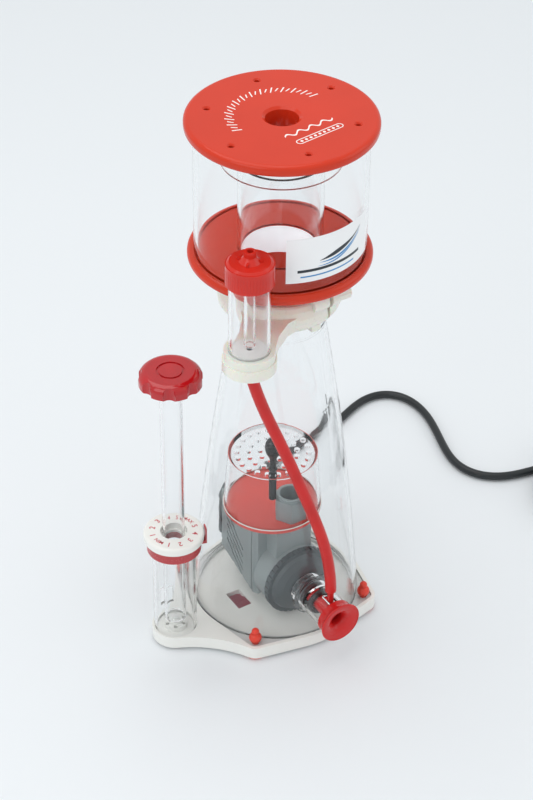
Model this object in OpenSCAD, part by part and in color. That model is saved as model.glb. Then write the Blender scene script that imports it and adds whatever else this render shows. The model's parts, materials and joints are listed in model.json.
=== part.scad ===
// In-sump protein skimmer: collection cup on a bell body, with a needle-wheel pump inside it.
// Millimetres. Origin: on the body's axis, on the plane the feet stand on. Z is up,
// the water intake points along -Y and the outlet pipe stands on the -X side.

/* [Cup] */
// Height of the lid's top face above the floor
total_h = 443; // [436:1:450]
// Outside radius of the clear cup wall
cup_r = 62.5; // [60:0.5:64]
// Radius of the lid
lid_r = 68.8; // [67:0.1:72]
// Thickness of the lid
lid_t = 8.6; // [7:0.1:10]
// Underside of the cup's red floor plate
cup_z = 328.4; // [326:0.1:332]
// Outside radius of the riser tube in the middle of the cup
riser_r = 31; // [30.5:0.1:33]
// Height of the riser's open top
riser_top = 410; // [390:1:415]

/* [Body] */
// Outside radius of the bell at its foot
bell_r = 66.5; // [66:0.1:67]
// Outside radius of the neck
neck_r = 34.5; // [34:0.1:35]
// Height of the neck's rim
neck_top = 312; // [308:1:314]
// Thickness of the clear acrylic walls
wall = 3; // [2.5:0.1:3.5]

/* [Base] */
// Radius of the tray between its corners
tray_r = 70.5; // [70:0.1:72]
// Distance of the four corner pegs from the axis
peg_d = 72.5; // [72:0.1:74]
// Distance of the outlet pipe from the axis
outlet_d = 93.4; // [92:0.1:96]
// Height of the tray's rim
rim_z = 13; // [12.5:0.5:15]

/* [Pump] */
// Height of the pump's shaft, and of the intake
shaft_z = 40; // [39:0.5:41]
// Underside of the red deck that carries the bubble chamber
deck_z = 95.5; // [95:0.5:97]
// Outside radius of the intake funnel's mouth
mouth_r = 17.2; // [16:0.1:18]

/* [Silencer] */
// Distance of the air silencer from the axis along X
silencer_x = -62.8; // [-64:0.1:-62]
// Distance of the air silencer from the axis along Y
silencer_y = -58.5; // [-60:0.1:-57]
// Outside radius of the silencer's clear tube
silencer_r = 15; // [14.5:0.1:15.5]

/* [Cord] */
// Diameter of the mains lead
cord_d = 6.8; // [6.5:0.1:7]

/* [Hidden] */
$fn = 96;
RED = [0.82, 0.24, 0.18];
DEEP_RED = [0.60, 0.10, 0.12];
SILICONE = [0.90, 0.25, 0.16];
CLEAR = [0.86, 0.92, 0.94, 0.35];
WHITE = [0.93, 0.93, 0.90];
GREY = [0.50, 0.53, 0.54];
DARK = [0.36, 0.39, 0.40];
BLACK = [0.10, 0.11, 0.12];
STEEL = [0.70, 0.70, 0.72];

gap = 0.3;                      // between pieces that move past each other
foot_h = 2.6;                   // silicone feet
cover_y = -30;                  // joint between the pump chamber and its front cover
plate_z = 8;                    // top of the tray's plate, the floor inside the bell
flange_z = 11;                  // top of the clear flange, where the bell starts
rim_t = 3;                      // thickness of the tray's rim
corner_r = 9.5;                 // radius of the tray's corners
lobe_r = 18.5;                  // radius of the tray's lobe under the outlet pipe
waist_r = 90;                   // radius of the hollow curve between lobe and corner
peg_hole_r = 2.75;
neck_z = 273;                   // where the bell ends and the straight neck starts
lid_z = total_h - lid_t;
cup_floor_t = 8;
collar_z = [289, 309];          // the clamp collar's lower and upper faces
screw_y = -38.5;                // line of the clamp screw, along X
screw_z = 308;
split_x = 15;                   // where the collar is split
holder_z = 288.6;              // underside of the silencer's holder
holder_h = 15.4;                // its height
seat_h = 13.4;                  // where the silencer's tube sits in it
cap_top = 378;                  // shoulder of the silencer's cap
outlet_top = 94.5;              // rim of the outlet pipe
dial_z = 100.9;                 // underside of the dial
knob_top = 260.9;               // top of the valve knob
barb_y = -78.5;                   // air nipple on the intake nozzle
mouth_y = -94;                  // plane of the intake's mouth
chamber = [-2.4, 2];            // axis of the bubble chamber
deck_t = 3;
gland_a = 64;                   // direction of the cable gland round the bell
gland_z = 34;
gland_out = 65.2;               // where the gland's outer flange starts, from the axis
relief_end = 98;                // where the strain relief ends, from the axis
cord_r = cord_d / 2;

// Route of the mains lead, from the strain relief over the floor to the coil
cord_pts = [
  [43, 88.1, 34], [46.6, 95.4, 33.8], [51, 104.3, 31.5], [57, 114, 26], [65.5, 123.5, 18.5],
  [76.5, 131.5, 11.2], [89.5, 137.6, 6.2], [104, 141.6, 4.2], [120, 144.6, 4], [137, 147.6, 4],
  [154, 151.6, 4], [171, 157.6, 4], [187, 164.8, 4], [203, 170.4, 4], [218.5, 171, 4],
  [231.5, 164.8, 4], [239.5, 152.5, 4], [242, 136, 4], [239.5, 117, 4], [233, 96, 4], [226, 76, 4],
  [221.5, 58, 4], [222, 42, 4], [228.5, 28.5, 4], [240, 18.5, 4], [254, 12.8, 4], [270, 9.6, 4],
  [286, 7.4, 4], [304.2, 5, 4]
];
// Route of the air hose, from the silencer's barb down to the intake nozzle
hose_pts = [
  [-62.8, -58.5, 288], [-62.2, -58.7, 282.5], [-60.6, -59.2, 275.5], [-58.4, -59.9, 268],
  [-54.3, -61.2, 254], [-49.2, -62.8, 239], [-43.2, -64.7, 223], [-37.3, -66.6, 207],
  [-31.7, -68.3, 191], [-26.4, -70, 175], [-20.7, -71.7, 158], [-15.2, -73.4, 141.5],
  [-9.8, -75, 124.5], [-5.4, -76.5, 107.5], [-2.4, -77.7, 90.5], [-0.7, -78.3, 77],
  [0, -78.5, 69], [0, -78.5, 62.5]
];
// Route of the pump's own lead, from the motor's underside to the gland
lead_pts = [
  [6, 8, 26.9], [6.6, 10, 24], [8, 14.5, 20.8], [10.5, 21, 19.6], [13.5, 28, 21],
  [17, 35, 25.5], [20.5, 42, 31], [23.4, 48, 34]
];
coil_c = [299.3, -39, 0];       // centre of the coil of spare lead
coil_r = [27.3, 47.7];          // inside and outside of the coil
coil_z = [0.6, 14.2];           // it lies in two layers
tail_r = [44.3, 37.5];          // the last turn lies on top of the coil, drawing in
tail_a = [230, 95];             // as it runs round it between these directions

// ---------- shared shapes ----------

// Ring with its axis on Z
module ring(r1, r2, z1, z2) {
  translate([0, 0, z1]) difference() {
    cylinder(r = r2, h = z2 - z1);
    translate([0, 0, -1]) cylinder(r = r1, h = z2 - z1 + 2);
  }
}

// Puts a shape that is drawn round Z on the pump's axis, with its Z pointing along -Y
module along_shaft(y) { translate([0, y, shaft_z]) rotate([90, 0, 0]) children(); }

// Places a child on each of the four diagonals at distance d
module on_corners(d) { for (a = [45 : 90 : 315]) rotate(a) translate([d, 0, 0]) children(); }

// Round plate whose rim is rounded with radius e top and bottom
module round_plate(r, z1, z2, e) {
  rotate_extrude() {
    translate([0, z1]) square([r - e, z2 - z1]);
    translate([0, z1 + e]) square([r, z2 - z1 - 2 * e]);
    for (z = [z1 + e, z2 - e]) translate([r - e, z]) circle(e);
  }
}

// Tube swept along points, closed with flat ends; sides is the number of flats round it
function unit(v) = v / norm(v);
function tangent(p, i) = unit(p[min(i + 1, len(p) - 1)] - p[max(i - 1, 0)]);
function side_of(t, up) = unit(cross(abs(t * up) > 0.95 ? [1, 0, 0] : up, t));
function tube_ring(p, i, r, sides, up) =
  let (t = tangent(p, i), u = side_of(t, up), v = cross(t, u))
  [for (k = [0 : sides - 1]) p[i] + r * (cos(360 * k / sides) * u + sin(360 * k / sides) * v)];
module swept_tube(p, r, sides, up = [0, 0, 1]) {
  n = len(p);
  rings = [for (i = [0 : n - 1]) each tube_ring(p, i, r, sides, up)];
  skin = [for (i = [0 : n - 2], k = [0 : sides - 1], half = [0, 1])
    let (a = i * sides + k, b = i * sides + (k + 1) % sides)
    half == 0 ? [a, b, b + sides] : [a, b + sides, a + sides]];
  first = [for (k = [0 : sides - 1]) k];
  last = [for (k = [0 : sides - 1]) n * sides - 1 - k];
  polyhedron(points = rings, faces = concat([for (f = skin) [f[2], f[1], f[0]]], [first, last]));
}

// ---------- tray ----------

// Points along an arc of radius r about c, leaving off "trim" points at each end
function arc(c, r, a1, a2, trim = 0) = let(n = 2 + ceil(abs(a2 - a1) / 4))
  [for (i = [trim : n - trim]) let(a = a1 + (a2 - a1) * i / n) c + r * [cos(a), sin(a)]];
function polar(r, a) = r * [cos(a), sin(a)];

// Outline of the tray's round seat with its four corners, drawn in by inset
function blend(inset) = acos((tray_r - corner_r) / peg_d);
function corner_arc(q, inset) =
  arc(polar(peg_d, q), corner_r - inset, q - blend(inset), q + blend(inset));
function side_arc(q, inset) = arc([0, 0], tray_r - inset, q + blend(inset), q + 90 - blend(inset));
module seat_outline(inset) {
  polygon([for (q = [45 : 90 : 315]) each concat(corner_arc(q, inset), side_arc(q, inset))]);
}

// Outline of the whole tray: the seat plus the lobe under the outlet pipe, with a hollow
// curve between the lobe and each corner next to it
lobe = [-outlet_d, 0];
near_corner = polar(peg_d, 225);
span = norm(near_corner - lobe);
along = (near_corner - lobe) / span;
reach = lobe_r + waist_r;
foot = (pow(reach, 2) - pow(corner_r + waist_r, 2) + pow(span, 2)) / (2 * span);
waist_c = lobe + along * foot + [along[1], -along[0]] * sqrt(pow(reach, 2) - pow(foot, 2));
lobe_a = atan2(waist_c[1] - lobe[1], waist_c[0] - lobe[0]);
corner_a = atan2(waist_c[1] - near_corner[1], waist_c[0] - near_corner[0]);
module tray_outline() {
  polygon(concat(
    corner_arc(45, 0), side_arc(45, 0),
    arc(polar(peg_d, 135), corner_r, 135 - blend(0), -corner_a),
    arc([waist_c[0], -waist_c[1]], waist_r, -corner_a - 180, -lobe_a - 180, 1),
    arc(lobe, lobe_r, -lobe_a, 360 + lobe_a),
    arc(waist_c, waist_r, lobe_a + 180, corner_a + 180, 1),
    arc(near_corner, corner_r, 360 + corner_a, 225 + blend(0)),
    side_arc(225, 0), corner_arc(315, 0), side_arc(315, 0)));
}

// Stadium from the bell's floor slot to the outlet pipe
module duct_outline(r, start) {
  translate([-outlet_d, 0]) circle(r);
  translate([start, 0]) circle(r);
  translate([-outlet_d, -r]) square([outlet_d + start, 2 * r]);
}
duct_x = -35;
duct_r = 11;

module foot_pads() {
  color(SILICONE) linear_extrude(foot_h) {
    difference() {
      union() {
        circle(60);
        on_corners(peg_d) circle(7.5);
        on_corners(62) square([18, 8], center = true);
        translate([-75, 0]) square([36, 8], center = true);
      }
      circle(52);
    }
    translate([-outlet_d, 0]) circle(11);
  }
}

module base_tray() {
  color(WHITE) difference() {
    translate([0, 0, foot_h]) linear_extrude(rim_z - foot_h) tray_outline();
    translate([0, 0, plate_z]) linear_extrude(rim_z) seat_outline(rim_t);
    translate([0, 0, foot_h - 1]) linear_extrude(2.2) duct_outline(duct_r + 2, duct_x);
    translate([0, 0, foot_h]) linear_extrude(4) duct_outline(duct_r, duct_x);
    translate([-39, -8, foot_h]) cube([12, 20, rim_z]);
    translate([-outlet_d, 0, foot_h]) cylinder(r = 10, h = rim_z);
    translate([-outlet_d, 0, 9]) cylinder(r = 17, h = rim_z);
    on_corners(peg_d) cylinder(r = peg_hole_r, h = rim_z);
  }
}

module duct_cover() {
  color(RED) translate([0, 0, foot_h]) linear_extrude(1.2) duct_outline(duct_r + 2, duct_x);
}

module base_seal() {
  color(CLEAR) ring(63.6, 65.6, plate_z, plate_z + 1.4);
}

module cone_flange() {
  color(CLEAR) difference() {
    translate([0, 0, plate_z]) linear_extrude(flange_z - plate_z) difference() {
      seat_outline(rim_t + 0.4);
      circle(bell_r - wall - 1);
      on_corners(peg_d) circle(peg_hole_r);
    }
    ring(63.6, 65.6, plate_z - 1, plate_z + 1.4);
  }
}

// Pull-out peg: two bulbs over a stem that goes through flange and tray
module peg(a) {
  color(SILICONE) rotate(a) translate([peg_d, 0, 0]) {
    translate([0, 0, foot_h + 0.6]) cylinder(r = peg_hole_r - gap, h = 13);
    translate([0, 0, 16.6]) sphere(r = 5);
    translate([0, 0, 22.8]) sphere(r = 3);
  }
}
module peg_front_left() { peg(225); }
module peg_front_right() { peg(315); }
module peg_rear_left() { peg(135); }
module peg_rear_right() { peg(45); }

// ---------- bell ----------

// Outside radius of the bell at height z: it curves in slowly, then faster
function bell_at(z) = bell_r - 0.072 * (z - flange_z) - 0.00019 * pow(z - flange_z, 2);
bell_steps = 16;
bell_zs = [for (i = [0 : bell_steps]) flange_z + (neck_z - flange_z) * i / bell_steps];

// Drill for things that go through the bell's wall low down, pointing along direction a
module gland_line(from) { rotate(gland_a) translate([from, 0, gland_z]) rotate([0, 90, 0]) children(); }

module cone_shell() {
  color(CLEAR) difference() {
    rotate_extrude() polygon(concat(
      [for (z = bell_zs) [bell_at(z), z]], [[neck_r, neck_z], [neck_r, neck_top]],
      [[neck_r - wall, neck_top], [neck_r - wall, neck_z]],
      [for (i = [bell_steps : -1 : 0]) [bell_at(bell_zs[i]) - wall, bell_zs[i]]]));
    along_shaft(-50) cylinder(r = 13.6, h = 30);
    gland_line(50) cylinder(r = 5.1, h = 30);
  }
}

module intake_tube() {
  color(CLEAR) difference() {
    along_shaft(-44) {
      cylinder(r = 13.5, h = -mouth_y - 10.5 - 44);
      translate([0, 0, 7]) cylinder(r = 17, h = 3);
    }
    along_shaft(-40) cylinder(r = 11.2, h = 50);
    translate([-3.2, barb_y, shaft_z]) cube([6.4, 6.4, 20], center = false);
    translate([-3.2, barb_y - 5, shaft_z]) cube([6.4, 6, 20]);
  }
}

module intake_oring() {
  color(BLACK) along_shaft(-65) rotate_extrude() translate([8.85, 0]) circle(2.3);
}

// Straight pipe that opens into a trumpet mouth, with the air nipple on top of it
module intake_nozzle() {
  color(RED) difference() {
    union() {
      along_shaft(barb_y + 23) cylinder(r = 6.5, h = 28);
      along_shaft(mouth_y + 10.2) rotate_extrude() polygon(concat(
        [[0, 0], [14.6, 0], [15, 0.4], [15, 4.4], [15.6, 7]],
        arc([mouth_r - 0.9, 9.3], 0.9, -30, 90), [[0, 10.2]]));
      translate([0, barb_y, shaft_z + 4]) cylinder(r = 2.6, h = 24);
    }
    along_shaft(-40) cylinder(r = 5, h = 60);
    along_shaft(mouth_y + 10.2) rotate_extrude() polygon(concat(
      [[0, 1.6], [5, 1.6]], [for (t = [0 : 10 : 90]) [5 + 11.3 * (1 - cos(t)), 1.6 + 8.3 * sin(t)]],
      [[16.3, 11], [0, 11]]));
    translate([0, barb_y, shaft_z]) cylinder(r = 1.6, h = 30);
  }
}

// ---------- pump ----------

// Side view of the motor block: flat front, underside rising to the back, chamfered top corner
function motor_side(inset) = [
  [-12 + inset, 20 + inset], [44 - inset, 39 + inset], [44 - inset, 88 - inset], [38 - inset, deck_z - inset],
  [-12 + inset, deck_z - inset]];
module motor_block(half, inset) {
  rotate([90, 0, 90]) translate([0, 0, -half]) linear_extrude(2 * half) polygon(motor_side(inset));
}

module motor_housing() {
  color(GREY) difference() {
    intersection() {
      motor_block(27, 0);
      linear_extrude(deck_z + 1) polygon([
        [-27, -9], [-24, -12], [24, -12], [27, -9], [27, 39], [22, 44], [-22, 44], [-27, 39]]);
    }
    // room for the stator above the rotor
    translate([-22, -8, 53]) cube([44, 46, deck_z - 53 - 4]);
    for (s = [-1, 1]) translate([s * 14.5 - 5, -7, 32.5]) cube([10, 16, 21]);
    // rotor well, open to the front
    along_shaft(12) cylinder(r = 8.2, h = 30);
    // louvres on the left side
    for (i = [0 : 4]) translate([-27, 18, 66 - 7 * i]) rotate([45, 0, 0]) cube([2.4, 34, 1.8], center = true);
    // seam groove near the front
    for (s = [-1, 1]) translate([s * 27, -7, 60]) cube([1.6, 1.4, 90], center = true);
  }
}

module motor_back() {
  color(DARK) intersection() {
    translate([0, 44, 0]) rotate([90, 0, 180]) translate([0, 0, 0]) linear_extrude(6)
      polygon([[-25, 44], [-20, 39.5], [20, 39.5], [25, 44], [25, 82], [19, 89], [-19, 89], [-25, 82]]);
    translate([0, 0, 30]) cylinder(r = 53.5, h = 70);
  }
}

module stator_core() {
  color(STEEL) difference() {
    translate([-19, -6, 33]) cube([38, 14, 56]);
    translate([-10, -7, 32]) cube([20, 16, 42]);
  }
}

module stator_coils() {
  color([0.72, 0.40, 0.18]) for (s = [-1, 1]) translate([s * 14.5, 1, 56]) difference() {
    translate([-6.5, -8.5, 0]) cube([13, 17, 15]);
    translate([-4.5, -7, -1]) cube([9, 14, 17]);
  }
}

module volute_housing() {
  color(GREY) difference() {
    union() {
      along_shaft(-12) cylinder(r = 28, h = -12 - cover_y);
      translate([-16, -26, shaft_z + 10]) cube([32, 14, deck_z - shaft_z - 10]);
      translate([-10, -24, plate_z]) cube([20, 11, 12]);
      // six-sided outlet spout that stands on the deck
      translate([0, -20, deck_z - 6]) cylinder(r = 13, h = 28, $fn = 6);
      translate([0, -20, deck_z + 20]) cylinder(r = 10.6, h = 4.5);
    }
    along_shaft(cover_y + 10.5) cylinder(r = 22.5, h = 12);
    along_shaft(-10) cylinder(r = 8.2, h = 12);
    translate([0, -20, shaft_z + 5]) cylinder(r = 5, h = deck_z);
    translate([0, -20, deck_z + 4]) cylinder(r = 8.6, h = 30);
    translate([-20, -12, deck_z - 7]) cube([40, 10, 7]);
    along_shaft(cover_y + 1.6) difference() { cylinder(r = 25.6, h = 3); cylinder(r = 23.4, h = 3); }
  }
}

module volute_oring() {
  color(BLACK) along_shaft(cover_y + 1.6) difference() {
    cylinder(r = 25.6, h = 1.6);
    translate([0, 0, -1]) cylinder(r = 23.4, h = 4);
  }
}

module volute_cover() {
  color(DARK) difference() {
    along_shaft(cover_y) {
      difference() {
        cylinder(r = 29.6, h = 5);
        for (i = [0 : 35]) rotate(i * 10) translate([29.6, 0, -1]) cylinder(r = 0.9, h = 7, $fn = 24);
      }
      rotate_extrude() polygon([[0, 4], [26, 5], [24.5, 8], [19, 11], [14.5, 12.5], [11, 13], [11, 24], [0, 24]]);
    }
    along_shaft(cover_y + 1) rotate_extrude() polygon([[0, 0], [22.5, 0], [22.5, 4], [17, 9], [8, 10.5], [8, 26], [0, 26]]);
  }
  // spider that holds the front bush
  color(DARK) along_shaft(cover_y - 10.5) difference() {
    union() {
      cylinder(r = 4.6, h = 5);
      for (i = [0 : 2]) rotate(i * 120 + 30) translate([3, -1, 0]) cube([6, 2, 5]);
    }
    translate([0, 0, -1]) cylinder(r = 3.2, h = 7);
  }
}

module shaft_bushes() {
  color([0.92, 0.92, 0.90]) {
    along_shaft(cover_y - 10.5) difference() { cylinder(r = 3.2, h = 5); translate([0, 0, -1]) cylinder(r = 1.55, h = 7); }
    along_shaft(12) difference() { cylinder(r = 8.2, h = 2.5); translate([0, 0, -1]) cylinder(r = 1.55, h = 7); }
  }
}

module rotor_magnet() {
  color([0.22, 0.22, 0.24]) along_shaft(9) difference() {
    cylinder(r = 7.6, h = 21);
    translate([0, 0, -1]) cylinder(r = 1.5, h = 30);
  }
}

needle_rings = [[16.8, 18], [12.4, 14], [8.6, 9]];
module impeller() {
  color(WHITE) along_shaft(cover_y + 9) difference() {
    union() {
      cylinder(r = 19.5, h = 1.6);
      cylinder(r = 4.5, h = 9);
      for (row = needle_rings, i = [0 : row[1] - 1])
        rotate(i * 360 / row[1]) translate([row[0], 0, 1]) cylinder(r = 0.9, h = 8.5, $fn = 16);
    }
    translate([0, 0, -1]) cylinder(r = 1.5, h = 12);
  }
}

module impeller_shaft() { color(STEEL) along_shaft(11.5) cylinder(r = 1.5, h = 26.5 - cover_y); }

module pump_lead() { color(BLACK) swept_tube(lead_pts, cord_r, 10); }

module gland_nut() {
  color(BLACK) gland_line(55) difference() {
    cylinder(r = 8, h = 5.6, $fn = 6);
    translate([0, 0, -1]) cylinder(r = 5, h = 8);
  }
}
module cable_gland() {
  color(BLACK) {
    gland_line(53.4) cylinder(r = 5, h = gland_out - 53.4);
    gland_line(gland_out) { cylinder(r = 8, h = 2.5); cylinder(r = 6.4, h = 6); }
  }
}
module strain_relief() {
  color(BLACK) gland_line(gland_out + 6) rotate_extrude() polygon([
    [0, 0], [5.8, 0], [5.6, 6], [4.8, 16], [4.1, relief_end - gland_out - 6], [0, relief_end - gland_out - 6]]);
}

// ---------- bubble chamber ----------

module pump_deck() {
  color(RED) difference() {
    translate([chamber[0], chamber[1], deck_z]) cylinder(r = 38.4, h = deck_t);
    translate([0, -20, deck_z - 1]) cylinder(r = 13.05, h = deck_t + 2, $fn = 6);
  }
}

// Rows of bubble holes in the chamber's top plate: radius and number of holes
hole_rows = [[10, 8], [19, 15], [28, 22]];
chamber_top = 147;
module bubble_cover() {
  color(CLEAR) translate([chamber[0], chamber[1], 0]) difference() {
    rotate_extrude() polygon([
      [38.4, deck_z + deck_t], [34.9, chamber_top], [0, chamber_top], [0, chamber_top - 2.5],
      [32.6, chamber_top - 2.5], [35.9, deck_z + deck_t]]);
    for (row = hole_rows, i = [0 : row[1] - 1])
      if (norm(row[0] * [cos(i * 360 / row[1]), sin(i * 360 / row[1])] - plug_at) > 6)
        rotate(i * 360 / row[1]) translate([row[0], 0, chamber_top - 4]) cylinder(r = 2.2, h = 6);
    translate([plug_at[0], plug_at[1], chamber_top - 4]) cylinder(r = 2.9, h = 6);
  }
}
plug_at = [-11.6, -18];         // the rubber plug, from the chamber's axis

module plate_plug() {
  color(BLACK) translate([chamber[0] + plug_at[0], chamber[1] + plug_at[1], 0]) {
    translate([0, 0, 118]) cylinder(r = 2.9, h = chamber_top - 118);
    translate([0, 0, chamber_top]) rotate_extrude() polygon([
      [0, 0], [3.6, 0], [2.8, 1.4], [2.5, 3.5], [2.5, 8.5], [3, 11], [4.2, 13.2], [5.5, 16], [6.1, 19],
      [6.2, 21.5], [5.8, 24.2], [4.8, 26.6], [3.2, 28.4], [1.4, 29.1], [0, 29.2]]);
  }
}

// ---------- outlet pipe ----------

module on_outlet() { translate([-outlet_d, 0, 0]) children(); }

module outlet_tube() {
  color(CLEAR) on_outlet() difference() {
    ring(14.8, 17, 9, outlet_top);
    // outflow window, facing the rear
    translate([-6, 12, 24]) cube([12, 8, 16]);
  }
}
module outlet_seat() {
  color(WHITE) on_outlet() difference() {
    union() {
      translate([0, 0, 9]) cylinder(r = 14.7, h = 2.4);
      translate([0, 0, 11]) cylinder(r = 9, h = 5);
      translate([0, 0, 16]) cylinder(r = 5.4, h = 2.6);
      translate([0, 0, 18]) cylinder(r = 2.4, h = 3);
    }
    for (a = [0 : 60 : 300]) rotate(a) translate([7.4, 0, 8]) cylinder(r = 1.5, h = 12);
    translate([0, 0, 8]) cylinder(r = 7.5, h = 5);
  }
}
module pointer_ring() {
  color([0.72, 0.27, 0.29]) on_outlet() {
    difference() {
      translate([0, 0, outlet_top]) cylinder(r = 21, h = 6);
      translate([0, 0, outlet_top - 1]) cylinder(r = 9.2, h = 9);
    }
    ring(17, 21, outlet_top - 2.4, outlet_top);
    // pointer that stands up beside the dial
    rotate(-17) translate([19, -3, outlet_top - 2]) cube([6.4, 6, 2.6]);
    rotate(-17) translate([24.2, -3, outlet_top - 2]) cube([1.2, 6, 14.5]);
  }
}
module dial_ring() {
  color(WHITE) on_outlet() difference() {
    round_plate(23.3, dial_z, dial_z + 7.5, 2);
    translate([0, 0, dial_z - 1]) cylinder(r = 8.5, h = 10);
    translate([0, 0, dial_z + 2]) cylinder(r = 10.4, h = 10);
  }
}
module valve_tube() { color(CLEAR) on_outlet() ring(7, 8.5, 22, 252); }
knob_r = 23.7;
module valve_knob() {
  color(DEEP_RED) on_outlet() difference() {
    rotate_extrude() polygon(concat(
      [[0, knob_top - 11.6], [knob_r - 1, knob_top - 11.6], [knob_r, knob_top - 10.6]],
      arc([knob_r - 6.5, knob_top - 6.5], 6.5, 0, 90), [[0, knob_top]]));
    for (i = [0 : 7]) rotate(i * 45 + 12) translate([26, 0, knob_top - 13]) cylinder(r = 5.4, h = 14);
    translate([0, 0, knob_top - 13]) cylinder(r = 8.5, h = 13 - 6.6);
    ring(8.6, 10.4, knob_top - 0.9, knob_top + 1);
  }
}

// ---------- clamp and silencer ----------

module at_silencer() { translate([silencer_x, silencer_y, 0]) children(); }
silencer_d = norm([silencer_x, silencer_y]);
silencer_a = atan2(silencer_y, silencer_x);
module along_screw(x) { translate([x, screw_y, screw_z]) rotate([0, 90, 0]) children(); }

// Plan of the arm: it narrows from the collar to the holder
module arm_plan() {
  rotate(silencer_a) polygon([
    [20, 30], [36, 24], [46, 18], [silencer_d - 22, 15.5], [silencer_d, 17.6],
    [silencer_d, -17.6], [silencer_d - 22, -15.5], [46, -18], [36, -24], [20, -30]]);
}
module clamp_collar() {
  color(WHITE) difference() {
    union() {
      rotate_extrude() polygon([
        [20, collar_z[0]], [42.5, collar_z[0]], [45, 292.5], [45.6, 296], [45, 300], [43, 305], [41, 308],
        [39.6, collar_z[1]], [20, collar_z[1]]]);
      translate([0, 0, 291]) linear_extrude(11) arm_plan();
      at_silencer() {
        translate([0, 0, holder_z]) cylinder(r = 19.5, h = 8.4);
        translate([0, 0, holder_z]) cylinder(r = 18.4, h = holder_h);
      }
      along_screw(1) cylinder(r = 7.6, h = split_x - 2.5);
      along_screw(split_x + 1.5) cylinder(r = 7.6, h = 4.5);
      // small lip under the front of the collar
      rotate(-84) translate([37, -4, 285]) cube([6, 8, 5]);
    }
    translate([0, 0, 280]) cylinder(r = neck_r, h = 40);
    translate([0, 0, neck_top]) cylinder(r = 37.5, h = 10);
    translate([split_x - 1.5, screw_y - 10, collar_z[0] - 10]) cube([3, 20, 40]);
    along_screw(2) cylinder(r = 2.8, h = 60);
    along_screw(2.9) cylinder(r = 4.8, h = 4.2, $fn = 6);
    along_screw(split_x + 6) cylinder(r = 8.2, h = 40);
    at_silencer() {
      translate([0, 0, holder_z + seat_h]) cylinder(r = silencer_r, h = 10);
      translate([0, 0, holder_z - 1]) cylinder(r = 2.6, h = 20);
    }
  }
}
module clamp_nut() {
  color(STEEL) along_screw(3) difference() {
    cylinder(r = 4.7, h = 4, $fn = 6);
    translate([0, 0, -1]) cylinder(r = 2.55, h = 6);
  }
}
module clamp_stud() { color(STEEL) along_screw(2) cylinder(r = 2.5, h = split_x + 4.6); }
module clamp_knob() {
  color(WHITE) difference() {
    along_screw(split_x + 6.6) union() {
      cylinder(r = 6.8, h = 2);
      difference() {
        cylinder(r = 6, h = 12);
        for (i = [0 : 9]) rotate(i * 36) translate([6.4, 0, 3]) cylinder(r = 0.9, h = 12, $fn = 24);
      }
    }
  }
}

module silencer_tube() { color(CLEAR) at_silencer() ring(12.8, silencer_r, holder_z + seat_h, 370); }
module silencer_floor() {
  color([0.93, 0.88, 0.88]) at_silencer()
    ring(2.2, 12.8, holder_z + seat_h + 1.2, holder_z + seat_h + 3);
}
module hose_barb() {
  color(WHITE) at_silencer() difference() {
    union() {
      translate([0, 0, holder_z + seat_h]) cylinder(r = 6, h = 1.2);
      translate([0, 0, holder_z - 12]) cylinder(r = 2.6, h = seat_h + 12.2);
    }
    translate([0, 0, holder_z - 13]) cylinder(r = 1.5, h = 40);
  }
}
module air_hose() { color(SILICONE) swept_tube(hose_pts, 4.4, 12, [0, 1, 0]); }

module silencer_cap() {
  color(RED) at_silencer() difference() {
    union() {
      difference() {
        translate([0, 0, 360.5]) cylinder(r = 17.3, h = 16);
        for (i = [0 : 47]) rotate(i * 7.5) translate([17.7, 0, 359]) cylinder(r = 0.65, h = 14.5, $fn = 20);
      }
      translate([0, 0, 376]) cylinder(r1 = 17, r2 = 14.6, h = 2);
      translate([0, 0, 377.8]) cylinder(r1 = 8, r2 = 4.4, h = 4.2);
      translate([0, 0, 382]) cylinder(r = 4.2, h = 4);
      for (a = [45 : 90 : 315]) rotate(a) translate([4, -0.8, 377.6]) cube([5, 1.6, 2.6]);
    }
    translate([0, 0, 359]) cylinder(r = silencer_r + gap, h = 12.6);
    translate([0, 0, 371.4]) cylinder(r = 12.8, h = 3.4);
    translate([0, 0, 370]) cylinder(r = 2.25, h = 20);
    translate([0, 0, 370]) cylinder(r = 4.2, h = 7);
  }
}
module silencer_inner_tube() { color(CLEAR) at_silencer() ring(2.9, 4.2, 309, 377); }

// ---------- cup ----------

module cup_floor() {
  color(RED) difference() {
    round_plate(67.3, cup_z, cup_z + cup_floor_t, 3.6);
    translate([0, 0, cup_z - 1]) cylinder(r = riser_r - 2.5, h = cup_floor_t + 2);
  }
}
module cup_wall() { color(CLEAR) ring(cup_r - wall, cup_r, cup_z + cup_floor_t, lid_z); }
module cup_riser() { color(CLEAR) ring(riser_r - 2.5, riser_r, cup_z + cup_floor_t, riser_top); }
module cup_socket() {
  color(DEEP_RED) difference() {
    union() {
      translate([0, 0, 294]) cylinder(r = neck_r - wall - gap, h = cup_z - 294);
      translate([0, 0, neck_top + gap]) cylinder(r = 37, h = cup_z - neck_top - gap);
    }
    translate([0, 0, 290]) cylinder(r = riser_r - 2.5, h = 60);
    ring(29.3, 32, 301, 303.4);
  }
}
module cup_oring() { color(BLACK) ring(29.3, 31.3, 301, 303.4); }

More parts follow.
